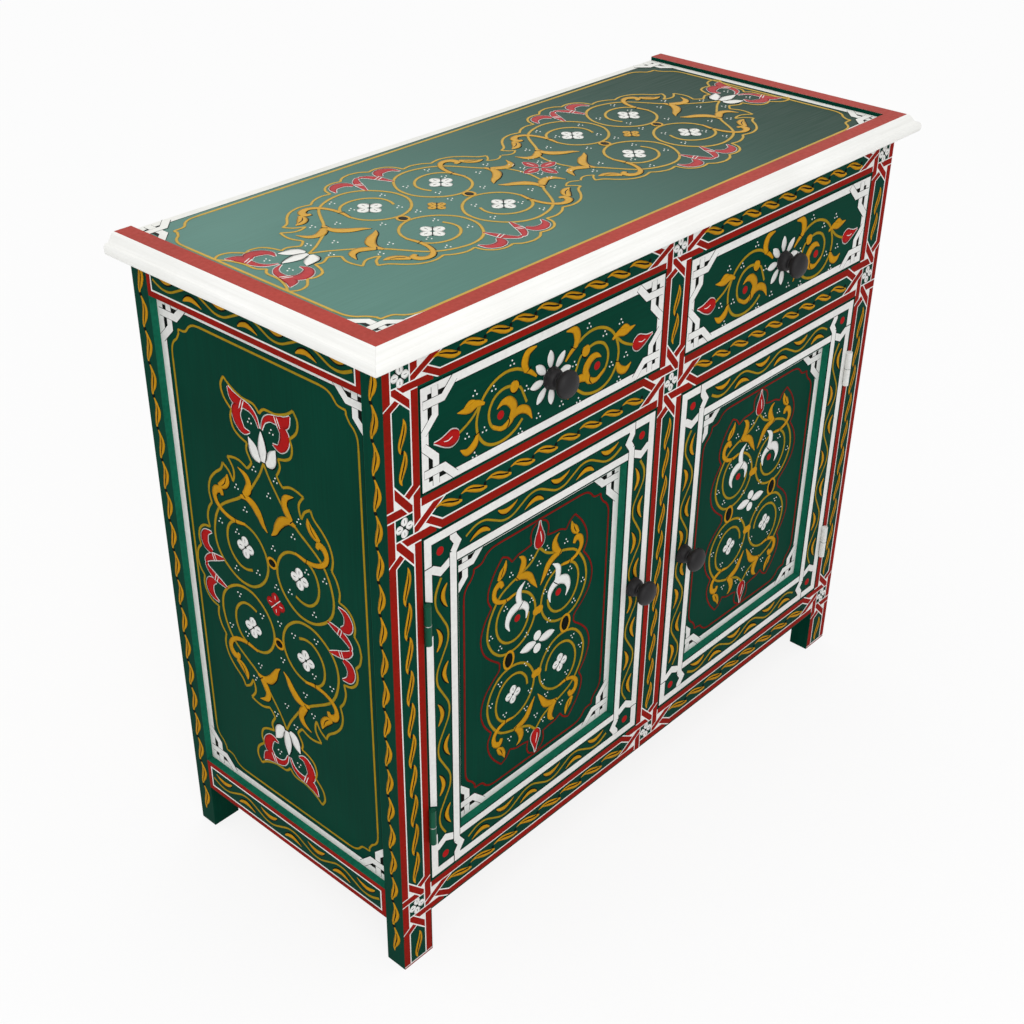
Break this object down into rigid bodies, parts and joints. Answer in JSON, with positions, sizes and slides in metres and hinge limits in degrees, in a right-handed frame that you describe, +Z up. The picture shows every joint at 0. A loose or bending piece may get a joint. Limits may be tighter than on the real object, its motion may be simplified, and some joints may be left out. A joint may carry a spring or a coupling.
{
  "type": "painted dresser",
  "caption": "Hand-painted wooden cabinet with drawers over panelled doors, post legs and a top framed by a moulded lip.",
  "frame": {"origin": "centre of the bounding box in plan, on the floor under the feet", "axes": "+X along the front to the right as seen from the front, +Y to the back, +Z up"},
  "size_m": [0.987, 0.435, 0.85],
  "materials": {
    "green_paint": "dark green gloss oil paint with hand-painted ornament",
    "white_paint": "white gloss oil paint",
    "bare_wood": "planed softwood, unpainted",
    "black_iron": "black, satin",
    "green_hinge": "steel brushed over with green paint",
    "white_hinge": "steel brushed over with white paint"
  },
  "bodies": {
    "carcass": {"left_front_post": "green_paint", "right_front_post": "green_paint", "left_back_post": "green_paint", "right_back_post": "green_paint", "front_bottom_rail": "green_paint", "front_mid_rail": "green_paint", "front_top_rail": "green_paint", "door_mullion": "green_paint", "drawer_divider": "green_paint", "left_bottom_rail": "green_paint", "left_top_rail": "green_paint", "left_side_panel": "green_paint", "right_bottom_rail": "green_paint", "right_top_rail": "green_paint", "right_side_panel": "green_paint", "back_bottom_rail": "bare_wood", "back_mid_rail": "bare_wood", "back_top_rail": "bare_wood", "back_panel": "bare_wood", "floor_board": "bare_wood", "door_stop": "bare_wood", "top_panel": "green_paint", "front_moulding": "white_paint", "left_moulding": "white_paint", "right_moulding": "white_paint", "left_runner": "bare_wood", "centre_runner": "bare_wood", "right_runner": "bare_wood", "left_lower_hinge_frame_half": "green_hinge", "left_upper_hinge_frame_half": "green_hinge", "right_lower_hinge_frame_half": "white_hinge", "right_upper_hinge_frame_half": "white_hinge"},
    "left_drawer": {"left_drawer_front": "green_paint", "left_drawer_left_side": "bare_wood", "left_drawer_right_side": "bare_wood", "left_drawer_back": "bare_wood", "left_drawer_bottom": "bare_wood", "left_drawer_knob": "black_iron"},
    "right_drawer": {"right_drawer_front": "green_paint", "right_drawer_left_side": "bare_wood", "right_drawer_right_side": "bare_wood", "right_drawer_back": "bare_wood", "right_drawer_bottom": "bare_wood", "right_drawer_knob": "black_iron"},
    "left_door": {"left_door_lock_stile": "green_paint", "left_door_hinge_stile": "green_paint", "left_door_bottom_rail": "green_paint", "left_door_top_rail": "green_paint", "left_door_panel": "green_paint", "left_door_knob": "black_iron", "left_lower_hinge_door_half": "green_hinge", "left_upper_hinge_door_half": "green_hinge"},
    "right_door": {"right_door_lock_stile": "green_paint", "right_door_hinge_stile": "green_paint", "right_door_bottom_rail": "green_paint", "right_door_top_rail": "green_paint", "right_door_panel": "green_paint", "right_door_knob": "black_iron", "right_lower_hinge_door_half": "white_hinge", "right_upper_hinge_door_half": "white_hinge"}
  },
  "joints": [
    {"name": "left_drawer_slide", "type": "slide", "parent": "carcass", "child": "left_drawer", "axis": [0, -1, 0], "range_m": [0, 0.26]},
    {"name": "right_drawer_slide", "type": "slide", "parent": "carcass", "child": "right_drawer", "axis": [0, -1, 0], "range_m": [0, 0.26]},
    {"name": "left_door_swing", "type": "hinge", "parent": "carcass", "child": "left_door", "pos_m": [-0.41775, -0.1891, 0.3615], "axis": [0, 0, -1], "range_deg": [0, 170]},
    {"name": "right_door_swing", "type": "hinge", "parent": "carcass", "child": "right_door", "pos_m": [0.41775, -0.1891, 0.3615], "axis": [0, 0, 1], "range_deg": [0, 170]}
  ]
}
